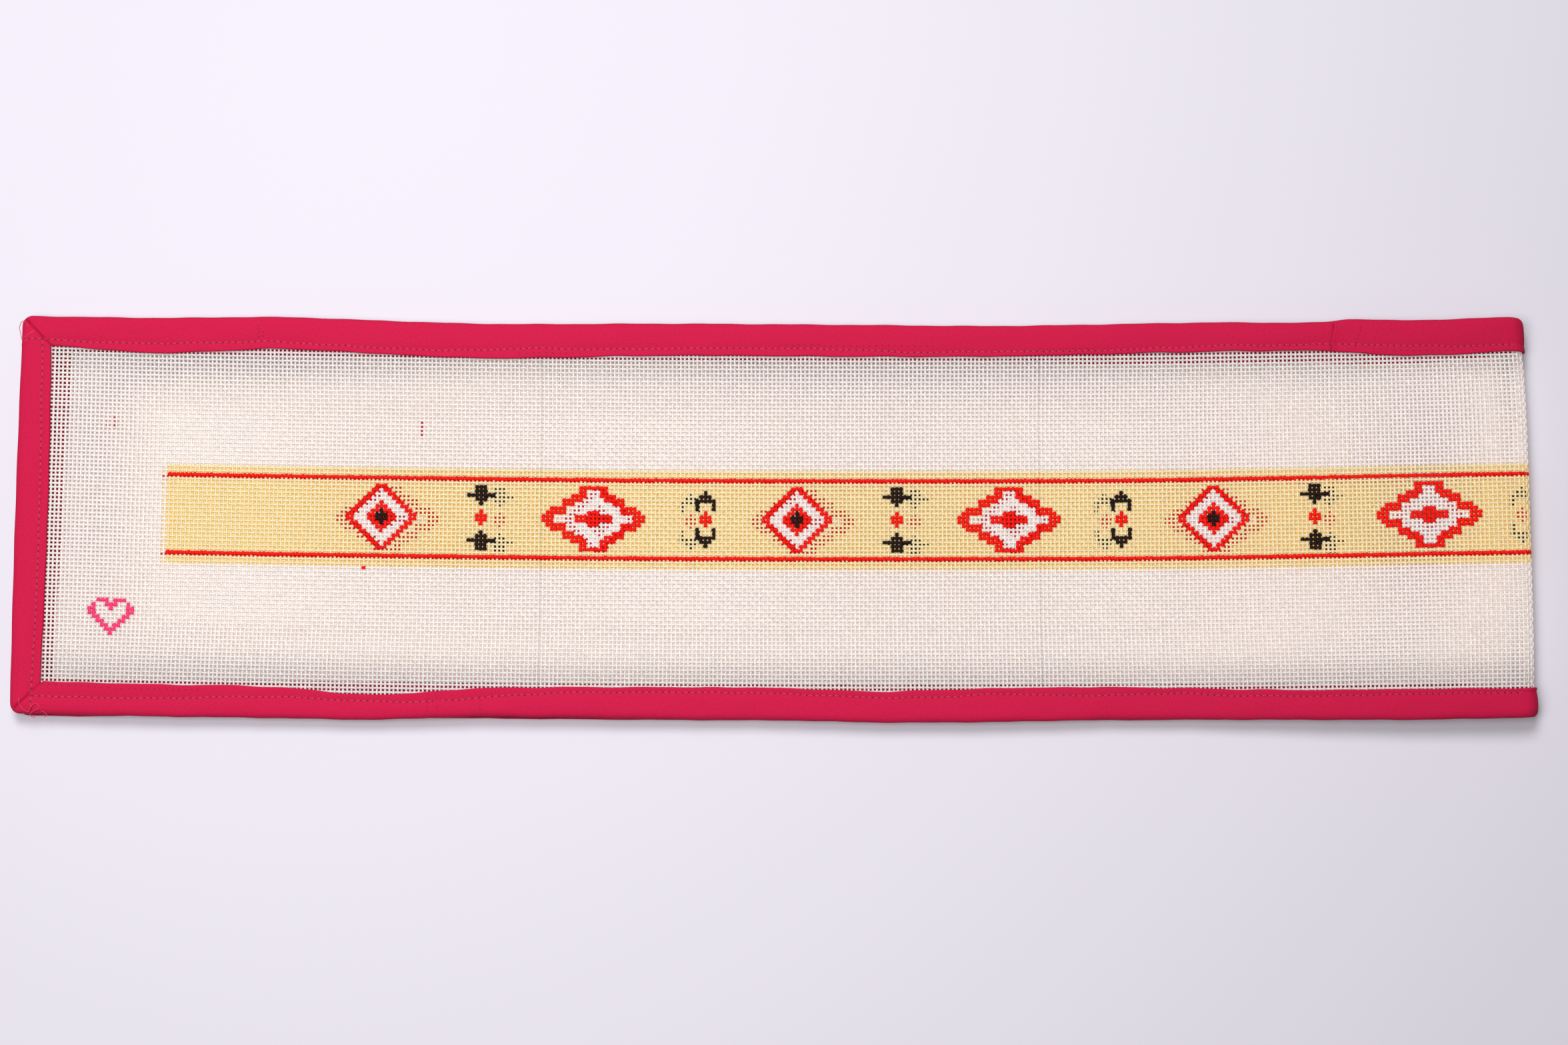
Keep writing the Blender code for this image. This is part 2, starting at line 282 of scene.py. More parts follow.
MEDALLION = (
    Span(0, RED, 0, 4), Span(0, WHITE, 5, 9), Span(0, RED, 10, 12),
    Span(1, RED, 0, 1), Span(1, WHITE, 2, 6), Span(1, RED, 7, 11),
    Span(2, WHITE, 0, 6), Span(2, RED, 7, 10),
    Span(3, WHITE, 0, 4), Span(3, RED, 5, 7),
    Span(4, WHITE, 0, 2), Span(4, RED, 3, 7),
    Span(5, WHITE, 0, 1), Span(5, RED, 2, 5),
    Span(6, WHITE, 0, 1), Span(6, RED, 2, 3),
    Span(7, RED, 0, 3),
)
HOOK = (
    Span(0, RED, 0, 1), Span(1, RED, 0, 0),
    Span(2, BLACK, 2, 2), Span(3, BLACK, 2, 2), Span(4, BLACK, 0, 2), Span(5, BLACK, 0, 1),
    Span(6, BLACK, 0, 0),
)
Repeat = namedtuple("Repeat", "motif column times")
REPEATS = (
    Repeat(DIAMOND, 0, 6),
    Repeat(CROSS, 24, 6),
    Repeat(MEDALLION, 51, 6),
    Repeat(HOOK, 78, 5),
)
REPEAT_LENGTH = 100
BAND_FIRST = -51
BAND_LAST = 605
BAND_ROWS = 12
LINE_ROW = 9

# A plain small heart in outline near the left end, counted from its tip: columns from its middle line
HEART_COLUMN = -64
HEART_ROW = -30
HEART = (
    Span(0, PINK, 0, 0), Span(1, PINK, 0, 1), Span(2, PINK, 1, 2), Span(3, PINK, 2, 3),
    Span(4, PINK, 3, 4), Span(5, PINK, 4, 5), Span(6, PINK, 4, 5), Span(6, PINK, 0, 0),
    Span(7, PINK, 0, 1), Span(7, PINK, 4, 4), Span(8, PINK, 1, 3),
)

# Small stray marks of red paint on both leaves, each on one column
Stray = namedtuple("Stray", "column first_row last_row")
STRAYS = (Stray(543, 20, 23), Stray(617, 21, 23), Stray(619, 21, 22), Stray(-4, -13, -13))


def painted_chart():
    """The paint of every crossing, as an array of rows by columns. Row 0 is the nearest row."""
    chart = np.full((NEAR_ROWS + FAR_ROWS, LAST_COLUMN - FIRST_COLUMN + 1), WHITE)

    def row_index(row):
        return row + NEAR_ROWS

    def column_index(column):
        return column - FIRST_COLUMN

    band = slice(column_index(BAND_FIRST), column_index(BAND_LAST) + 1)
    chart[row_index(-BAND_ROWS):row_index(BAND_ROWS), band] = YELLOW
    chart[row_index(LINE_ROW), band] = RED
    chart[row_index(-LINE_ROW - 1), band] = RED
    for motif, start, times in REPEATS:
        for k in range(times):
            middle = start + k * REPEAT_LENGTH
            for row, paint, first, last in motif:
                for r in (row, -1 - row):
                    for low, high in ((first, last), (-last, -first)):
                        place = slice(column_index(middle + low), column_index(middle + high) + 1)
                        chart[row_index(r), place] = paint
    for row, paint, first, last in HEART:
        for low, high in ((first, last), (-last, -first)):
            place = slice(column_index(HEART_COLUMN + low), column_index(HEART_COLUMN + high) + 1)
            chart[row_index(HEART_ROW + row), place] = paint
    for column, first, last in STRAYS:
        chart[row_index(first):row_index(last) + 1, column_index(column)] = RED
    return chart


def thread_places(paints, rng):
    """Places along a thread, in crossings, and the paint of each stretch between two places. There is a
    place on every crossing, half a step beyond both ends, and about halfway where the paint changes."""
    count = len(paints)
    edge = np.nonzero(np.diff(paints))[0]
    change = edge + 0.5 + rng.uniform(-PAINT_BLEED, PAINT_BLEED, len(edge))
    places = np.sort(np.concatenate([[-0.5], np.arange(count), change, [count - 0.5]]))
    middles = np.clip(np.rint((places[1:] + places[:-1]) / 2), 0, count - 1).astype(int)
    return places, paints[middles]


def tube(places, fixed, out, widths, section, turned):
    """Points of one thread's rings, as (run, across, out), and its quads. A turned thread runs across the
    strip and not along it."""
    sideways = fixed[:, None] + widths[:, None] * section[None, :, 0]
    height = out[:, None] + section[None, :, 1]
    main = np.broadcast_to(places[:, None], sideways.shape)
    points = np.stack([sideways, main, height] if turned else [main, sideways, height], axis=-1)
    sides = len(section)
    ring = np.arange(len(places) - 1)[:, None] * sides
    here = ring + np.arange(sides)
    after = ring + (np.arange(sides) + 1) % sides
    corners = [here, after, after + sides, here + sides]
    if not turned:
        corners = [here, here + sides, after + sides, after]
    return points.reshape(-1, 3), np.stack(corners, axis=-1).reshape(-1, 4)


def end_caps(first_point, rings, sides, turned):
    """The two end faces of a thread whose points start at first_point."""
    low = [first_point + k for k in range(sides)]
    high = [first_point + (rings - 1) * sides + k for k in range(sides)]
    return [low[::-1], high] if turned else [low, high[::-1]]


def lower_shift(run):
    """How far a row's thread lies off its place, at places on the run."""
    return LOWER_SHIFT * ease((run - FOLD_TOP_X) / SHIFT_LENGTH)


def painted_trapped_light(run, across):
    """How much painted glow stands for light caught between the leaves: less beside the tape, as painted shade,
    and more towards the open fold.
    """
    x = np.where(run > FOLD_END, below_run(run), np.minimum(run, FOLD_TOP_X))
    towards_fold = 1 + FOLD_GAIN * ease((x - FOLD_GAIN_X) / (FOLD_TOP_X - FOLD_GAIN_X))
    off_tape = EDGE_LIGHT + (1 - EDGE_LIGHT) * ease((SAG_HALF_WIDTH - np.abs(across)) / EDGE_LOSS_WIDTH)
    return towards_fold * off_tape


def tube_colours(paints, inside, turned, light):
    """Colour of every corner of a thread's quads, between a paint's face colour and its painted shade on the side
    facing into the fold, with the strength of its painted glow, which stands for light caught between the leaves,
    as its alpha."""
    after = np.roll(inside, -1)
    share = np.stack([inside, after, after, inside] if turned else [inside, inside, after, after], axis=-1)
    face = np.array([p.face for p in PAINTS])[paints][:, None, None, :]
    back = np.array([p.inside for p in PAINTS])[paints][:, None, None, :]
    colours = face + (back - face) * share[None, :, :, None]
    # Painted glow: each corner's share of the fold colour, times the light caught there
    depth = share[None, :, :, None] * light[:, None, None, None]
    return np.concatenate([colours, depth], axis=-1).reshape(-1, 4)


def smoothed(lines, width):
    """Each line of an array as its running mean over this many values."""
    window = np.ones(width) / width
    return np.array([np.convolve(line, window, mode="same") for line in lines])


class Weave:
    """The whole canvas: the paint of each crossing, and how far its threads wander from their places."""

    def __init__(self):
        rng = np.random.default_rng(WEAVE_SEED)
        self.rng = rng
        self.chart = painted_chart()
        rows, columns = self.chart.shape
        self.along_wander = self.wander(rng, rows, columns)
        self.cross_wander = self.wander(rng, columns, rows).T
        self.along_width = rng.normal(1, WIDTH_SPREAD, rows)
        self.cross_width = rng.normal(1, WIDTH_SPREAD, columns)

    @staticmethod
    def wander(rng, threads, crossings):
        """How far each thread lies from its place at each crossing: its own shift and a slow drift."""
        drift = np.cumsum(rng.normal(0, DRIFT_STEP, (threads, crossings)), axis=1)
        slow = smoothed(drift, SHORT_WINDOW)
        slow = slow - smoothed(slow, LONG_WINDOW)
        own = rng.normal(0, 0.6, (threads, 1))
        return WANDER * (own + 0.5 * np.clip(slow, -2, 2) + rng.normal(0, 0.5, (threads, crossings)))

    def piece(self, name, first, last, section, inside):
        """The canvas from column first to last, with half a step of the long threads beyond them."""
        chart = self.chart[:, first - FIRST_COLUMN:last - FIRST_COLUMN + 1]
        shift = first - FIRST_COLUMN
        points, quads, colours = [], [], []
        caps, cap_colours = [], []
        total = 0
        threads = [(False, i) for i in range(chart.shape[0])] + [(True, j) for j in range(chart.shape[1])]
        for turned, k in threads:
            paints = chart[:, k] if turned else chart[k]
            places, stretches = thread_places(paints, self.rng)
            crossings = np.arange(len(paints))
            if turned:
                wander = self.cross_wander[:, k + shift]
                level = column_run(first + k)
                width = self.cross_width[k + shift]
                main = (places - NEAR_ROWS + 0.5) * ROW_PITCH
                sign = 1 if (k + first) % 2 else -1
            else:
                wander = self.along_wander[k, shift:shift + len(paints)]
                level = (k - NEAR_ROWS + 0.5) * ROW_PITCH
                width = self.along_width[k]
                main = column_run(first + places)
                sign = -1 if (k - NEAR_ROWS + first) % 2 else 1
            fixed = level + np.interp(places, crossings, wander)
            painted = np.interp(places, crossings, (paints >= RED).astype(float))
            on_line = not turned and k - NEAR_ROWS in (LINE_ROW, -LINE_ROW - 1)
            swell = LINE_SWELL if on_line else PAINTED_SWELL
            widths = width * (1 + (swell - 1) * painted)
            out = sign * CRIMP * np.cos(np.pi * places)
            found, faces = tube(main, fixed, out, widths, section, turned)
            points.append(found)
            quads.append(faces + total)
            caps += end_caps(total, len(places), len(section), turned)
            for paint in (stretches[0], stretches[-1]):
                cap_colours += [PAINTS[paint].face + (0.0,)] * len(section)
            middle = (main[1:] + main[:-1]) / 2
            light = painted_trapped_light(level, middle) if turned else painted_trapped_light(middle, level)
            colours.append(tube_colours(stretches, inside, turned, light))
            total += len(found)
        points = np.concatenate(points)
        points[:, 1] += lower_shift(points[:, 0])
        place = on_panel(points[:, 0], points[:, 1], points[:, 2])
        obj = mesh_object(name, place, np.concatenate(quads).tolist() + caps)
        paint = obj.data.color_attributes.new("paint", "FLOAT_COLOR", "CORNER")
        rgba = np.concatenate(colours + [np.array(cap_colours)])
        paint.data.foreach_set("color", rgba.astype(np.float32).ravel())
        return obj


# A thread's section, with four sides on the upper leaf and three on the lower: each corner's place sideways
# and towards the face, and its share of the painted shade and painted glow on the sides facing into the fold
Corner = namedtuple("Corner", "sideways out inside")
FOUR_SIDES = (Corner(0, 1, 0.0), Corner(1, 0, 0.3), Corner(0, -1, 1.0), Corner(-1, 0, 0.3))
THREE_SIDES = (Corner(0, 1, 0.0), Corner(1, -0.4, 0.8), Corner(-1, -0.4, 0.8))

# The canvas pieces, each under 200,000 triangles: first and last column, and the section
Piece = namedtuple("Piece", "name first last section")
PIECES = (
    Piece("canvas_upper_left", FIRST_COLUMN, 38, FOUR_SIDES),
    Piece("canvas_upper_middle", 39, 158, FOUR_SIDES),
    Piece("canvas_upper_right", 159, FOLD_COLUMN, FOUR_SIDES),
    Piece("canvas_lower_right", FOLD_COLUMN + 1, 454, THREE_SIDES),
    Piece("canvas_lower_left", 455, LAST_COLUMN, THREE_SIDES),
)


def mesh_object(name, points, faces):
    """A mesh object with smooth faces."""
    data = bpy.data.meshes.new(name)
    data.from_pydata(points, [], faces)
    data.shade_smooth()
    obj = bpy.data.objects.new(name, data)
    bpy.context.collection.objects.link(obj)
    return obj


def build_canvas(material):
    """The woven canvas in its pieces, which together stand for the CAD sheet."""
    weave = Weave()
    for name, first, last, corners in PIECES:
        section = np.array([(c.sideways * THREAD_HALF_WIDTH, c.out * THREAD_HALF_HEIGHT) for c in corners])
        inside = np.array([c.inside for c in corners])
        obj = weave.piece(name, first, last, section, inside)
        obj.data.materials.append(material)
        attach(obj, "root")
        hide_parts("canvas")


# Sewing: distance of the stitch line from the front lip of each long tape, along the upper leaf
Seam = namedtuple("Seam", "x gap")
FAR_SEAM = (
    Seam(-237, 2.1), Seam(-211, 3.2), Seam(-185, 2.8), Seam(-155, 2.1), Seam(-136, 2.0), Seam(-108, 2.5),
    Seam(-84, 3.3), Seam(-52, 2.4), Seam(3, 2.6), Seam(31, 2.2), Seam(40, 1.6), Seam(77, 1.6),
    Seam(112, 1.3), Seam(152, 2.0), Seam(176, 1.9), Seam(189, 2.5), Seam(208, 3.3), Seam(219, 3.4), Seam(231, 2.9),
    Seam(243, 2.3),
)
NEAR_SEAM = (
    Seam(-226, 5.0), Seam(-208, 4.7), Seam(-176, 3.6), Seam(-158, 2.9), Seam(-136, 2.2), Seam(-117, 3.2),
    Seam(-104, 3.4), Seam(-90, 2.7), Seam(-68, 1.8), Seam(-18, 1.8), Seam(20, 2.0), Seam(38, 2.0),
    Seam(54, 2.5), Seam(74, 2.0), Seam(108, 2.9), Seam(135, 1.8), Seam(153, 2.2), Seam(212, 1.7),
    Seam(254, 1.4),
)
END_SEAM_GAP = 2.8

# The tape's section on one side of the canvas, from its inner lip to its outer fold: where each point is
# counted from, how far it is from there, and its height over the canvas's middle surface
Point = namedtuple("Point", "origin place out")
WALL = (
    Point("lip", 0.40, 0.46),
    Point("lip", 0.00, 0.62),
    Point("lip", 0.12, 0.84),
    Point("lip", 0.02, 1.05),
    Point("lip", 0.22, 1.22),
    Point("lip", 0.60, 1.28),
    Point("seam", -0.55, 1.24),
    Point("seam", 0.00, 1.08),
    Point("seam", 0.60, 1.30),
    Point("between", 0.35, 1.56),
    Point("between", 0.70, 1.70),
    Point("edge", 3.20, 1.76),
    Point("edge", 1.90, 1.66),
    Point("edge", 0.95, 1.35),
    Point("edge", 0.30, 0.80),
)
SEAM_OUT = 1.08
SEAM_SINK = 0.1
LEAST_BEYOND = 0.3
INNER_WALL = Point("edge", 1.30, 0.46)
NOSE = (Point("edge", 0.0, 0.0),)
HIDDEN_WALL = tuple(WALL[k] for k in (0, 2, 4, 7, 11, 12, 14))
LEAST_SEAM = 0.62
SEAM_SIDE = 0.6
BETWEEN_STOP = 3.2

TAPE_STEP = 2.5
HIDDEN_STEP = 6.0
FOLD_STEPS = 14
END_PLACES = (0.0, 0.25, 0.6, 1.1, 1.8, 2.7, 4.0, 5.6)
FITTED_END = 40.0
TAPE_TOP = 1.78
MITRE_GAP = -0.12
MITRE_CREASE = 0.4
CREASE_WIDTH = 0.5
JOINT_WOBBLE = 0.12
JOINT_RIDGE = 0.3
RIDGE_WIDTH = 1.0

STITCH_LENGTH = 2.2
STITCH_SPREAD = 0.12
STITCH_WAVER = 0.08
STITCH_RADIUS = 0.12
STITCH_LIFT = ((0.06, -0.16), (0.25, 0.1), (0.75, 0.1), (0.94, -0.16))
HOLE_LENGTH = 0.46
HOLE_WIDTH = 0.27
HOLE_LIFT = 0.13
HOLE_SIDES = 8
SEWING_SEED = 7

# Where the seams start on the upper long sides, and where they start and stop on the two end tapes
LONG_SEAM_START = {1: 0.6, -1: 8.0}
END_SEAM_START = {True: 1.8, False: 8.5}
END_SEAM_STOP = 7.0

# Holes of earlier seams: along a long tape, where they start and stop and how far from the lip, and across
# one, where they start, how they slant, and how far from the outer edge
BARE_HOLE = 0.55
CROSS_STEP = 1.3
BareHoles = namedtuple("BareHoles", "side start stop gap_start gap_stop")
BARE_HOLES = (
    BareHoles(-1, -245.5, -214, 0.9, 1.8),
    BareHoles(-1, -212, -193, 1.8, 1.5),
    BareHoles(1, -86.4, -66.0, 1.7, 1.4),
    BareHoles(1, 2.0, 54.3, 3.6, 3.7),
    BareHoles(1, 90.6, 108.7, 2.1, 1.9),
    BareHoles(1, 203.4, 230.8, 2.0, 1.4),
)
CrossHoles = namedtuple("CrossHoles", "side place slant first last")
CROSS_HOLES = (
    CrossHoles(1, 199.3, -0.33, 3.0, 10.6),
    CrossHoles(1, -175.5, 0.0, 3.2, 7.4),
    CrossHoles(1, -173.9, 0.0, 5.6, 7.4),
    CrossHoles(-1, -116.0, 0.05, 2.6, 8.0),
    CrossHoles(-1, -98.2, -0.05, 2.6, 7.8),
)

TAIL_RADIUS = 0.12
TAIL_SIDES = 5
TAIL_STEPS = 6
# Loose thread ends at the left corners, as x, y and z
FAR_LOOP = (
    (-253.6, 64.6, 7.0), (-254.6, 66.4, 7.6), (-255.9, 67.0, 7.6), (-256.9, 65.1, 7.2),
    (-256.5, 62.4, 6.8), (-256.0, 60.9, 7.0), (-255.2, 60.4, 7.4),
)
FAR_TAIL = ((-256.1, 60.8, 7.0), (-255.0, 61.5, 7.5), (-253.3, 62.9, 7.5), (-251.8, 63.9, 7.4))
NEAR_TAIL = (
    (-253.0, -60.8, 7.4), (-252.6, -62.8, 7.6), (-251.6, -64.4, 7.6), (-250.4, -65.3, 7.4),
    (-249.4, -65.6, 7.4),
)
NEAR_LOOP = (
    (-249.4, -65.6, 7.4), (-248.9, -64.4, 7.7), (-247.6, -62.8, 7.7), (-246.2, -63.2, 7.7),
    (-246.0, -64.4, 7.6), (-247.4, -65.0, 7.6), (-249.0, -66.2, 7.2), (-248.1, -67.4, 6.4),
    (-247.4, -66.7, 6.6),
)
NEAR_CURL = (
    (-245.0, -65.2, 7.5), (-243.9, -65.9, 7.4), (-243.4, -66.6, 7.2), (-244.0, -67.1, 6.9),
    (-244.6, -66.5, 7.0),
)


def corner_drop(distance):
    """How far an edge falls back at a rounded corner, this far from the other edge."""
    reach = np.clip(CORNER_RADIUS - np.maximum(distance, 0.0), 0, CORNER_RADIUS)
    return CORNER_RADIUS - np.sqrt(CORNER_RADIUS**2 - reach**2)


def mitre(inset):
    """Distance of a mitre from the other edge, for points this far in from their own rounded edge."""
    rounded = inset + np.maximum(CORNER_RADIUS - inset, 0) * (1 - math.sqrt(0.5))
    return rounded + MITRE_GAP


def end_edge(upper, across):
    """x of the tape's outer edge at the cut end of a leaf."""
    bulge = END_BULGE * (across / HALF_WIDTH) ** 2
    if upper:
        return UPPER_END_X + bulge
    return LOWER_END_X + LOWER_END_SKEW * across / HALF_WIDTH + bulge


def ripple(place, inset, lip):
    """Small unevenness of the tape's face between its outer fold and its lip."""
    inner = ease(inset / 2.5) * ease((lip - inset) / 2.0)
    slow = 0.11 * np.sin(place / 9.3 + 0.4 * inset) + 0.06 * np.sin(place / 3.9 - 0.5 * inset + 1.0)
    return slow * inner


class LongSide:
    """The binding along a long edge. A place on it is a place on the run."""

    def __init__(self, side):
        self.side = side
        self.start = float(end_edge(True, side * HALF_WIDTH))
        self.stop = below_run(float(end_edge(False, side * HALF_WIDTH)))

    def outer(self, place):
        """Distance of the outer edge from the bowed middle line."""
        rough = 0.07 * np.sin(place / 4.7) + 0.05 * np.sin(place / 2.1 + 2.0)
        square = tape_at(self.side, place, "outer") + rough
        return square - corner_drop(place - self.start) - corner_drop(self.stop - place)

    def lip(self, place):
        return tape_at(self.side, place, "front") + 0.10 * np.sin(place / 3.7 + 1.0)

    def back(self, place):
        return tape_at(self.side, place, "back")

    def gap(self, place):
        """Distance of the stitch line from the lip."""
        return along(FAR_SEAM if self.side > 0 else NEAR_SEAM, place, "gap")

    def point(self, place, inset, out):
        return on_panel(place, self.side * (self.outer(place) - inset), out)


class EndSide:
    """The binding across a cut end. A place on it is a distance across the strip."""

    def __init__(self, upper):
        self.upper = upper
        run = UPPER_END_X if upper else below_run(LOWER_END_X)
        self.start = -float(tape_at(-1, run, "outer"))
        self.stop = float(tape_at(1, run, "outer"))

    def lip(self, place):
        bulge = END_FRONT_BULGE * np.maximum(0.0, 1 - (place / END_FRONT_REACH) ** 2)
        return END_FRONT_WIDTH + bulge + 0.07 * np.sin(place / 3.3)

    def back(self, place):
        return END_BACK_WIDTH + 0 * place

    def gap(self, place):
        return END_SEAM_GAP + 0.15 * np.sin(place / 17)

    def point(self, place, inset, out):
        rough = 0.06 * np.sin(place / 3.9 + 1.0)
        edge = end_edge(self.upper, place) + corner_drop(place - self.start) + corner_drop(self.stop - place)
        x = edge + inset + rough * ease(1 - inset / 6)
        return on_panel(x if self.upper else below_run(x), place, out)


def inset_of(point, lip, gap):
    """Distance of one point of the tape's section from the outer edge, where the lip is this far from it
    and the stitch line is that far from the lip."""
    if point.origin == "lip":
        return lip - point.place
    if point.origin == "seam":
        return lip - np.maximum(gap + point.place, LEAST_SEAM)
    if point.origin == "between":
        start = lip - gap - SEAM_SIDE
        return start + (BETWEEN_STOP - start) * point.place
    return point.place + 0 * lip


def section_insets(side, place):
    """Inset and height of every point of the section, at places given for each point."""
    insets, outs = [], []
    order = [(p, 1) for p in WALL + NOSE] + [(p, -1) for p in reversed(HIDDEN_WALL)]
    order += [(INNER_WALL, -1), (INNER_WALL, 1)]
    for k, (point, face) in enumerate(order):
        at = place[..., k] if np.ndim(place) else place
        front = side.lip(at)
        lip = front if face > 0 else side.back(at)
        gap = side.gap(at) + lip - front
        inset = inset_of(point, lip, gap)
        uneven = ripple(at, inset, lip) if point not in (INNER_WALL, WALL[0]) else 0.0
        insets.append(inset)
        outs.append(face * (point.out + uneven * min(point.out, 1.0)) + 0 * inset)
    return np.stack(insets, axis=-1), np.stack(outs, axis=-1)


SECTION_POINTS = len(WALL) + len(NOSE) + len(HIDDEN_WALL) + 2


def fitted(places, low, high):
    """Places of every point of every ring, moved near both ends so that they reach low and high."""
    start, stop = places[0], places[-1]
    reach = min(FITTED_END, (stop - start) / 2)
    near_start = np.maximum(0.0, 1 - (places - start) / reach)[:, None]
    near_stop = np.maximum(0.0, 1 - (stop - places) / reach)[:, None]
    return places[:, None] + near_start * (low - start) + near_stop * (high - stop)


def ring_places(start, stop):
    """Places of a tape's rings: close at both ends, even on the way, closer round the fold."""
    inner = np.concatenate([
        np.arange(UPPER_END_X, FOLD_TOP_X - 1, TAPE_STEP),
        FOLD_TOP_X + FOLD_LENGTH * np.arange(FOLD_STEPS + 1) / FOLD_STEPS,
        np.arange(FOLD_END + HIDDEN_STEP, 800, HIDDEN_STEP),
    ])
    clear = END_PLACES[-1] + 1
    inner = inner[(inner > start + clear) & (inner < stop - clear)]
    return np.concatenate([start + np.array(END_PLACES), inner, stop - np.array(END_PLACES[::-1])])


def tape_mesh(name, side, low, high, crease_low, crease_high, ridge_low):
    """A length of binding as one closed body. low and high are the ends for each point of the section; a
    crease sinks an end that meets its neighbour in a mitre, and a ridge lifts a folded end at a joint."""
    base = ring_places(low.min(), high.max())
    place = fitted(base, low, high)
    inset, out = section_insets(side, place)
    from_low = place - low
    to_high = high - place
    bump = np.ones_like(out)
    if crease_low:
        bump -= MITRE_CREASE * np.exp(-(from_low / CREASE_WIDTH) ** 2)
    if crease_high:
        bump -= MITRE_CREASE * np.exp(-(to_high / CREASE_WIDTH) ** 2)
    out = out * bump
    if ridge_low:
        lifted = JOINT_RIDGE * np.exp(-(from_low / RIDGE_WIDTH) ** 2)
        out = out + lifted * np.clip(out, 0, 1)
    points = side.point(place, inset, np.clip(out, -TAPE_TOP, TAPE_TOP))
    rings, count = out.shape
    ring = np.arange(rings - 1)[:, None] * count
    here = ring + np.arange(count)
    after = ring + (np.arange(count) + 1) % count
    quads = np.stack([here, here + count, after + count, after], axis=-1).reshape(-1, 4)
    faces = quads.tolist()
    faces.append(list(range(count)))
    faces.append([(rings - 1) * count + k for k in reversed(range(count))])
    obj = mesh_object(name, points.reshape(-1, 3), faces)
    turn_outwards(obj)
    cloth = obj.data.attributes.new("cloth", "FLOAT_VECTOR", "POINT")
    folded = np.where(np.arange(count) > len(WALL), -1.0, 1.0) * inset
    flat = np.stack([place, folded, np.zeros_like(place)], axis=-1)
    cloth.data.foreach_set("vector", flat.astype(np.float32).ravel())
    return obj


def turn_outwards(obj):
    """Faces a closed mesh outwards."""
    mesh = bmesh.new()
    mesh.from_mesh(obj.data)
    if mesh.calc_volume(signed=True) < 0:
        bmesh.ops.reverse_faces(mesh, faces=mesh.faces)
    mesh.to_mesh(obj.data)
    mesh.free()


def end_insets(side, place):
    """Inset of every point of the section at one end of a tape."""
    places = np.full(SECTION_POINTS, float(place))
    return section_insets(side, places)[0]


def joint_places(side, place, direction):
    """A slanted joint between two lengths, for every point of the section."""
    lip_points = [p.origin == "lip" for p in WALL + NOSE + tuple(reversed(HIDDEN_WALL))] + [False, False]
    share = np.where(lip_points, 1.0, np.clip(end_insets(side, place) / END_FRONT_WIDTH, 0, 1))
    wobble = JOINT_WOBBLE * np.sin(2.1 * end_insets(side, place))
    return place + JOINT_SLANT * (0.5 - share) + wobble + direction * MITRE_GAP


def build_tapes(material):
    """The six lengths of binding, each in place of its CAD node."""
    sides = {1: LongSide(1), -1: LongSide(-1)}
    joints = {1: FAR_JOINT_X, -1: NEAR_JOINT_X}
    names = {1: "far_tape", -1: "near_tape"}
    for sign, side in sides.items():
        low = side.start + mitre(end_insets(side, side.start))
        high = side.stop - mitre(end_insets(side, side.stop))
        before = joint_places(side, joints[sign], -1)
        after = joint_places(side, joints[sign], 1)
        left = tape_mesh(names[sign] + "_left_binding", side, low, before, True, sign > 0, False)
        right = tape_mesh(names[sign] + "_right_binding", side, after, high, False, True, True)
        finish_tape(left, names[sign] + "_left", material)
        finish_tape(right, names[sign] + "_right", material)
    for upper, name in ((True, "end_tape_upper"), (False, "end_tape_lower")):
        side = EndSide(upper)
        low = side.start + mitre(end_insets(side, side.start))
        high = side.stop - mitre(end_insets(side, side.stop))
        tape = tape_mesh(name + "_binding", side, low, high, True, True, False)
        finish_tape(tape, name, material)


def finish_tape(obj, node, material):
    """Puts a binding in place of its CAD node."""
    obj.data.materials.append(material)
    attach(obj, "root")
    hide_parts(node)


def face_height(side, place, inset):
    """Height of a binding's face over the canvas's middle surface, without its ripple."""
    lip, gap = side.lip(place), side.gap(place)
    found = sorted((float(inset_of(p, lip, gap)), p.out) for p in WALL[4:])
    return float(np.interp(inset, [f[0] for f in found], [f[1] for f in found]))


def seam_height(side, place, inset):
    """Height of the face that shows under a stitch, where a seam may run on over the next tape's mitre."""
    beyond = place - side.start
    if beyond >= float(mitre(inset)):
        return SEAM_OUT
    if isinstance(side, LongSide):
        other = EndSide(True)
        other_place = side.side * (float(side.outer(place)) - inset)
    else:
        other = LongSide(-1)
        other_place = UPPER_END_X + inset
    return face_height(other, other_place, max(beyond, LEAST_BEYOND)) - SEAM_SINK


def ring_faces(rings, sides):
    """The quads round a tube of rings, each ring with this many points."""
    faces = []
    for start in range(0, (rings - 1) * sides, sides):
        for i in range(sides):
            n = (i + 1) % sides
            faces.append([start + i, start + n, start + sides + n, start + sides + i])
    return faces


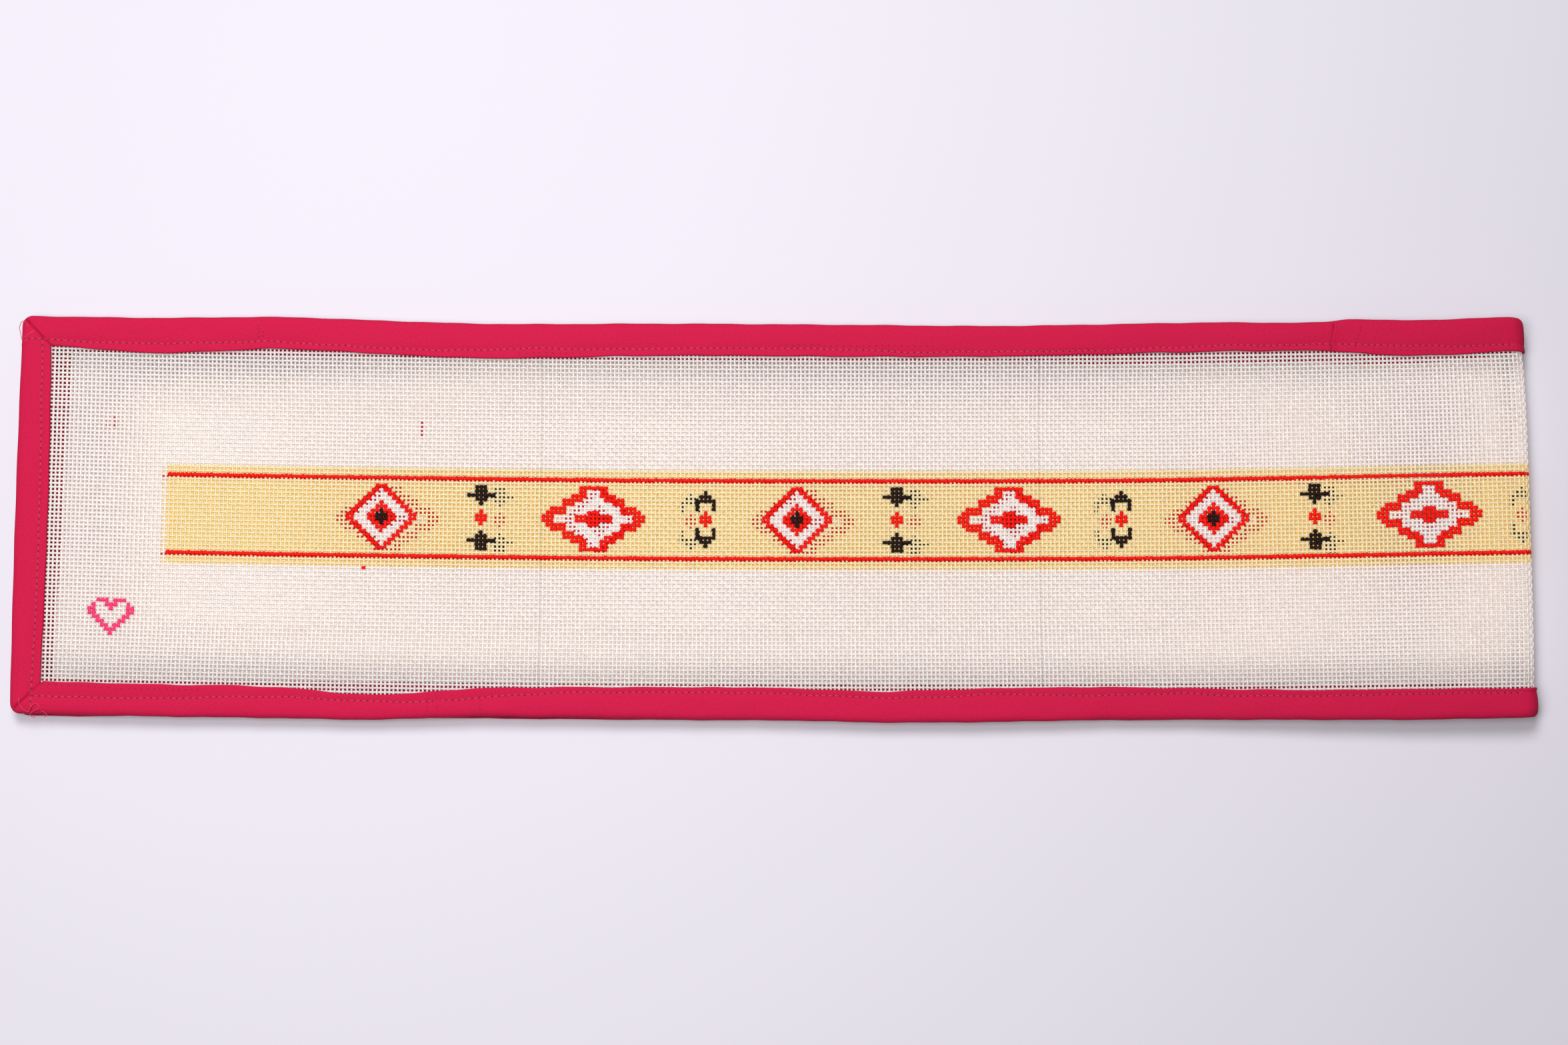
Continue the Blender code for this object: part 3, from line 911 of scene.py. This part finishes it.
class Sewing:
    """Stitches and needle holes, gathered into one mesh."""

    def __init__(self):
        self.points, self.faces, self.kinds = [], [], []
        self.rng = np.random.default_rng(SEWING_SEED)

    def add(self, points, faces, kind):
        base = sum(len(p) for p in self.points)
        self.points.append(points)
        self.faces += [[base + k for k in face] for face in faces]
        self.kinds += [kind] * len(faces)

    def hole(self, side, place, inset, out, size=1.0):
        """A needle hole, as a small dark oval in the face: painted shade for the hollow of the hole."""
        turn = 2 * np.pi * np.arange(HOLE_SIDES) / HOLE_SIDES
        places = place + size * HOLE_LENGTH * np.cos(turn)
        insets = inset + size * HOLE_WIDTH * np.sin(turn)
        level = out + ripple(place, inset, side.lip(place)) + HOLE_LIFT + 0 * turn
        self.add(side.point(places, insets, level), [list(range(HOLE_SIDES))], 1)

    def bare_holes(self, side, start, stop, gap_start, gap_stop):
        """A row of holes from an earlier seam, from one distance from the lip to another."""
        count = int(round(abs(stop - start) / STITCH_LENGTH))
        for share in np.linspace(0, 1, count + 1):
            place = start + (stop - start) * share + self.rng.uniform(-0.2, 0.2)
            inset = side.lip(place) - gap_start - (gap_stop - gap_start) * share
            self.hole(side, place, inset, face_height(side, place, inset), BARE_HOLE)

    def cross_holes(self, side, place, slant, inset_start, inset_stop):
        """A row of holes across a tape, from one distance from its outer edge to another."""
        for inset in np.arange(inset_start, inset_stop, CROSS_STEP):
            at = place + slant * (inset - inset_start) + self.rng.uniform(-0.15, 0.15)
            self.hole(side, at, inset, face_height(side, at, inset), BARE_HOLE)

    def line(self, side, start, stop):
        """A row of stitches on a binding's face, from one place to another, with a hole between each."""
        count = int((stop - start) / STITCH_LENGTH)
        ends = start + STITCH_LENGTH * np.arange(count + 1)
        ends = ends + self.rng.uniform(-STITCH_SPREAD, STITCH_SPREAD, count + 1)
        waver = self.rng.uniform(-STITCH_WAVER, STITCH_WAVER, count + 1)
        section = np.array([(1, 0), (0, 1), (-1, 0), (0, -1)]) * STITCH_RADIUS
        for k in range(count):
            share = np.array([s for s, _ in STITCH_LIFT])
            lift = np.array([h for _, h in STITCH_LIFT])
            place = ends[k] + (ends[k + 1] - ends[k]) * share
            wave = waver[k] + (waver[k + 1] - waver[k]) * share
            inset = side.lip(place) - side.gap(place) + wave
            level = np.array([seam_height(side, a, b) for a, b in zip(place, inset)])
            out = level + ripple(place, inset, side.lip(place)) + lift
            points = side.point(
                np.repeat(place[:, None], 4, axis=1),
                inset[:, None] + section[None, :, 0],
                out[:, None] + section[None, :, 1],
            )
            self.add(points.reshape(-1, 3), ring_faces(len(place), len(section)), 0)
            hole_inset = side.lip(ends[k]) - side.gap(ends[k]) + waver[k]
            self.hole(side, ends[k], hole_inset, seam_height(side, ends[k], float(hole_inset)))

    def tail(self, points):
        """A loose thread end, as a thin round tube through points in millimetres."""
        path = smooth_path(np.array(points, float))
        tangent = np.gradient(path, axis=0)
        tangent /= np.linalg.norm(tangent, axis=1)[:, None]
        sideways = np.cross(tangent, [0.0, 0.0, 1.0])
        sideways /= np.maximum(np.linalg.norm(sideways, axis=1), 0.2)[:, None]
        upward = np.cross(sideways, tangent)
        rings = []
        for k in range(TAIL_SIDES):
            turn = 2 * np.pi * k / TAIL_SIDES
            rings.append(path + TAIL_RADIUS * (np.cos(turn) * sideways + np.sin(turn) * upward))
        points = np.stack(rings, axis=1) * MILLIMETRE
        self.add(points.reshape(-1, 3), ring_faces(len(path), TAIL_SIDES), 0)


def smooth_path(points):
    """A smooth curve through points."""
    ends = np.concatenate([2 * points[:1] - points[1:2], points, 2 * points[-1:] - points[-2:-1]])
    found = []
    for a, b, c, d in zip(ends, ends[1:], ends[2:], ends[3:]):
        for u in np.arange(TAIL_STEPS) / TAIL_STEPS:
            found.append(0.5 * (2 * b + (c - a) * u + (2 * a - 5 * b + 4 * c - d) * u * u
                                + (3 * b - a - 3 * c + d) * u**3))
    found.append(points[-1])
    return np.array(found)


def build_sewing(thread_material, hole_shade_material):
    """The top-stitching round both leaves and the loose thread ends, as one piece."""
    sewing = Sewing()
    for sign in (1, -1):
        side = LongSide(sign)
        sewing.line(side, side.start + LONG_SEAM_START[sign], FOLD_TOP_X + 1)
        sewing.line(side, FOLD_END - 1, side.stop - 1.0)
    for upper in (True, False):
        side = EndSide(upper)
        sewing.line(side, side.start + END_SEAM_START[upper], side.stop - END_SEAM_STOP)
    for sign, *numbers in BARE_HOLES:
        sewing.bare_holes(LongSide(sign), *numbers)
    for sign, *numbers in CROSS_HOLES:
        sewing.cross_holes(LongSide(sign), *numbers)
    for points in (FAR_LOOP, FAR_TAIL, NEAR_TAIL, NEAR_LOOP, NEAR_CURL):
        sewing.tail(points)
    obj = mesh_object("stitching", np.concatenate(sewing.points), sewing.faces)
    obj.data.materials.append(thread_material)
    obj.data.materials.append(hole_shade_material)
    obj.data.polygons.foreach_set("material_index", np.array(sewing.kinds, np.int32))
    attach(obj, "root")


# Materials: the share of light that passes through a thread, the painted glow of its sides facing into the fold,
# standing for light caught between the leaves, and the tape's and sewing's colours, with the tape's own where it
# is dark or has lint, the painted shade of its back faces in the fold, and the painted shade of the needle holes
THREAD_GLOW = 0.55
PAINTED_FOLD_GLOW = 0.68
THREAD_SHINE = 0.15
TAPE_SHINE = 0.12
TAPE_COLOUR = (0.56, 0.010, 0.062, 1.0)
TAPE_DARK = (0.42, 0.0045, 0.040, 1.0)
TAPE_LIGHT = (0.64, 0.07, 0.16, 1.0)
# Painted shade: a deep red for the tape's back faces, which lie in the fold
TAPE_FOLD_SHADE = (0.24, 0.002, 0.012, 1.0)
WEAVE_SHARE = 0.25
HIDDEN_BELOW = -0.5
THREAD_COLOUR = (0.64, 0.035, 0.11)
# Painted shade: the dark colour of the needle holes
HOLE_SHADE_COLOUR = (0.16, 0.004, 0.012)


def new_material(name, roughness):
    """A material with one Principled shader, with its node tree and the shader."""
    material = bpy.data.materials.new(name)
    material.use_nodes = True
    shader = material.node_tree.nodes["Principled BSDF"]
    shader.inputs["Roughness"].default_value = roughness
    return material, material.node_tree, shader


def node(tree, kind, **settings):
    """A new node with its settings, and its inputs where a name matches one."""
    made = tree.nodes.new(kind)
    for key, value in settings.items():
        if hasattr(made, key):
            setattr(made, key, value)
        else:
            made.inputs[key.replace("_", " ")].default_value = value
    return made


def canvas_material():
    """Sized cotton threads, with their paint."""
    material, tree, shader = new_material("canvas_cotton", 0.75)
    join = tree.links.new
    shader.inputs["Specular IOR Level"].default_value = THREAD_SHINE
    paint = node(tree, "ShaderNodeAttribute", attribute_name="paint")
    place = node(tree, "ShaderNodeTexCoord")
    mottle = node(tree, "ShaderNodeTexNoise", Scale=900.0, Detail=2.0)
    join(place.outputs["Object"], mottle.inputs["Vector"])
    level = node(tree, "ShaderNodeMapRange", From_Min=0.3, From_Max=0.7, To_Min=0.93, To_Max=1.04)
    join(mottle.outputs["Fac"], level.inputs["Value"])
    tone = node(tree, "ShaderNodeMix", data_type="RGBA", blend_type="MULTIPLY", Factor=1.0)
    join(paint.outputs["Color"], tone.inputs["A"])
    join(level.outputs["Result"], tone.inputs["B"])
    join(tone.outputs["Result"], shader.inputs["Base Color"])
    # Painted glow: the thread sides facing into the fold emit their colour, standing for light caught between the
    # leaves
    glow_strength = node(tree, "ShaderNodeMath", operation="MULTIPLY")
    glow_strength.inputs[1].default_value = PAINTED_FOLD_GLOW
    join(paint.outputs["Alpha"], glow_strength.inputs[0])
    join(tone.outputs["Result"], shader.inputs["Emission Color"])
    join(glow_strength.outputs["Value"], shader.inputs["Emission Strength"])
    fibres = node(tree, "ShaderNodeTexNoise", Scale=6000.0, Detail=1.0)
    join(place.outputs["Object"], fibres.inputs["Vector"])
    bump = node(tree, "ShaderNodeBump", Strength=0.35, Distance=0.0001)
    join(fibres.outputs["Fac"], bump.inputs["Height"])
    join(bump.outputs["Normal"], shader.inputs["Normal"])
    glow = node(tree, "ShaderNodeBsdfTranslucent")
    join(tone.outputs["Result"], glow.inputs["Color"])
    mixed = node(tree, "ShaderNodeMixShader")
    parts = node(tree, "ShaderNodeSeparateColor")
    join(paint.outputs["Color"], parts.inputs["Color"])
    open_share = node(tree, "ShaderNodeMath", operation="MULTIPLY")
    open_share.inputs[1].default_value = THREAD_GLOW
    join(parts.outputs["Green"], open_share.inputs[0])
    join(open_share.outputs["Value"], mixed.inputs["Fac"])
    join(shader.outputs["BSDF"], mixed.inputs[1])
    join(glow.outputs["BSDF"], mixed.inputs[2])
    join(mixed.outputs["Shader"], tree.nodes["Material Output"].inputs["Surface"])
    return material


def tape_material():
    """Cotton cut on the bias: a fine diagonal weave, a little mottled, with specks of lint, and painted shade on
    its back faces in the fold.
    """
    material, tree, shader = new_material("tape_cotton", 0.8)
    join = tree.links.new
    shader.inputs["Specular IOR Level"].default_value = TAPE_SHINE
    cloth = node(tree, "ShaderNodeAttribute", attribute_name="cloth")
    waves = []
    for angle in (45, -45):
        turned = node(tree, "ShaderNodeVectorRotate")
        turned.rotation_type = "Z_AXIS"
        turned.inputs["Angle"].default_value = math.radians(angle)
        join(cloth.outputs["Vector"], turned.inputs["Vector"])
        wave = node(tree, "ShaderNodeTexWave", Scale=0.8, Distortion=0.6, Detail=1.0, Detail_Scale=0.6)
        join(turned.outputs["Vector"], wave.inputs["Vector"])
        waves.append(wave)
    weave = node(tree, "ShaderNodeMath", operation="MAXIMUM")
    join(waves[0].outputs["Fac"], weave.inputs[0])
    join(waves[1].outputs["Fac"], weave.inputs[1])
    mottle = node(tree, "ShaderNodeTexNoise", Scale=1.6, Detail=4.0, Roughness=0.65)
    join(cloth.outputs["Vector"], mottle.inputs["Vector"])
    depth = node(tree, "ShaderNodeMath", operation="MULTIPLY_ADD")
    depth.inputs[1].default_value = WEAVE_SHARE
    join(weave.outputs["Value"], depth.inputs[0])
    join(mottle.outputs["Fac"], depth.inputs[2])
    level = node(tree, "ShaderNodeMapRange", From_Min=0.38, From_Max=0.95)
    join(depth.outputs["Value"], level.inputs["Value"])
    colour = node(tree, "ShaderNodeMix", data_type="RGBA", A=TAPE_DARK, B=TAPE_COLOUR)
    join(level.outputs["Result"], colour.inputs["Factor"])
    specks = node(tree, "ShaderNodeTexVoronoi", Scale=0.16)
    join(cloth.outputs["Vector"], specks.inputs["Vector"])
    lint = node(tree, "ShaderNodeMapRange", From_Min=0.018, From_Max=0.010)
    join(specks.outputs["Distance"], lint.inputs["Value"])
    flecked = node(tree, "ShaderNodeMix", data_type="RGBA", B=TAPE_LIGHT)
    join(lint.outputs["Result"], flecked.inputs["Factor"])
    join(colour.outputs["Result"], flecked.inputs["A"])
    parts = node(tree, "ShaderNodeSeparateXYZ")
    join(cloth.outputs["Vector"], parts.inputs["Vector"])
    # Painted shade on the tape's back faces in the fold, where the cloth attribute's second value is below
    # HIDDEN_BELOW
    fold_shade_mask = node(tree, "ShaderNodeMath", operation="LESS_THAN")
    join(parts.outputs["Y"], fold_shade_mask.inputs[0])
    fold_shade_mask.inputs[1].default_value = HIDDEN_BELOW
    sides = node(tree, "ShaderNodeMix", data_type="RGBA", B=TAPE_FOLD_SHADE)
    join(fold_shade_mask.outputs["Value"], sides.inputs["Factor"])
    join(flecked.outputs["Result"], sides.inputs["A"])
    join(sides.outputs["Result"], shader.inputs["Base Color"])
    bump = node(tree, "ShaderNodeBump", Strength=0.3, Distance=0.00012)
    join(weave.outputs["Value"], bump.inputs["Height"])
    join(bump.outputs["Normal"], shader.inputs["Normal"])
    return material


def plain_material(name, colour, roughness, spread):
    """One colour, mottled a little."""
    material, tree, shader = new_material(name, roughness)
    join = tree.links.new
    place = node(tree, "ShaderNodeTexCoord")
    mottle = node(tree, "ShaderNodeTexNoise", Scale=2500.0, Detail=1.0)
    join(place.outputs["Object"], mottle.inputs["Vector"])
    darker = tuple(c * (1 - spread) for c in colour[:3]) + (1.0,)
    lighter = tuple(min(c * (1 + spread), 1) for c in colour[:3]) + (1.0,)
    mixed = node(tree, "ShaderNodeMix", data_type="RGBA", A=darker, B=lighter)
    join(mottle.outputs["Fac"], mixed.inputs["Factor"])
    join(mixed.outputs["Result"], shader.inputs["Base Color"])
    return material


# The camera looks down at the panel, tilted towards its far side
AIM = (0.00345, -0.00172, 0.0062)
DISTANCE = 0.7364
TILT = math.radians(5.5)
LENS = 50.0
FLOOR_COLOUR = (0.60, 0.573, 0.632, 1.0)
FLOOR_GLOW = 0.06
FLOOR_LIGHT = (0.95, 0.92, 1.0, 1.0)
FLOOR_HALF = 3.0
WORLD_COLOUR = (0.93, 0.93, 1.0, 1.0)
WORLD_STRENGTH = 0.13
Lamp = namedtuple("Lamp", "name place size power")
LAMPS = (
    Lamp("overhead_lamp", (-0.24, -0.06, 0.82), 0.4, 4.6),
    Lamp("key_lamp", (-0.12, 0.54, 1.0), 0.5, 10.0),
)


def build_stage():
    """Floor, light and camera."""
    data = bpy.data.meshes.new("floor")
    corners = [(x * FLOOR_HALF, y * FLOOR_HALF, 0.0) for x, y in ((-1, -1), (1, -1), (1, 1), (-1, 1))]
    data.from_pydata(corners, [], [(0, 1, 2, 3)])
    floor = bpy.data.objects.new("floor", data)
    bpy.context.collection.objects.link(floor)
    paper = plain_material("floor_paper", FLOOR_COLOUR, 0.9, 0.01)
    shader = paper.node_tree.nodes["Principled BSDF"]
    shader.inputs["Emission Color"].default_value = FLOOR_LIGHT
    shader.inputs["Emission Strength"].default_value = FLOOR_GLOW
    floor.data.materials.append(paper)

    world = bpy.data.worlds.new("studio")
    world.use_nodes = True
    background = world.node_tree.nodes["Background"]
    background.inputs["Color"].default_value = WORLD_COLOUR
    background.inputs["Strength"].default_value = WORLD_STRENGTH
    bpy.context.scene.world = world
    for name, place, size, power in LAMPS:
        lamp = bpy.data.lights.new(name, "AREA")
        lamp.shape = "DISK"
        lamp.size = size
        lamp.energy = power
        obj = bpy.data.objects.new(name, lamp)
        obj.location = place
        aim = Vector((0.0, 0.0, 0.0)) - Vector(place)
        obj.rotation_euler = aim.to_track_quat("-Z", "Y").to_euler()
        bpy.context.collection.objects.link(obj)

    camera = bpy.data.cameras.new("camera")
    camera.lens = LENS
    camera.sensor_width = 36.0
    camera.clip_start = 0.05
    eye = bpy.data.objects.new("camera", camera)
    eye.location = (AIM[0], AIM[1] - DISTANCE * math.sin(TILT), AIM[2] + DISTANCE * math.cos(TILT))
    eye.rotation_euler = (TILT, 0.0, 0.0)
    bpy.context.collection.objects.link(eye)
    bpy.context.scene.camera = eye
    bpy.context.scene.view_settings.view_transform = "Standard"


build_stage()
build_canvas(canvas_material())
build_tapes(tape_material())
build_sewing(
    plain_material("sewing_thread", THREAD_COLOUR, 0.6, 0.2),
    plain_material("needle_hole_shade", HOLE_SHADE_COLOUR, 0.9, 0.3),
)
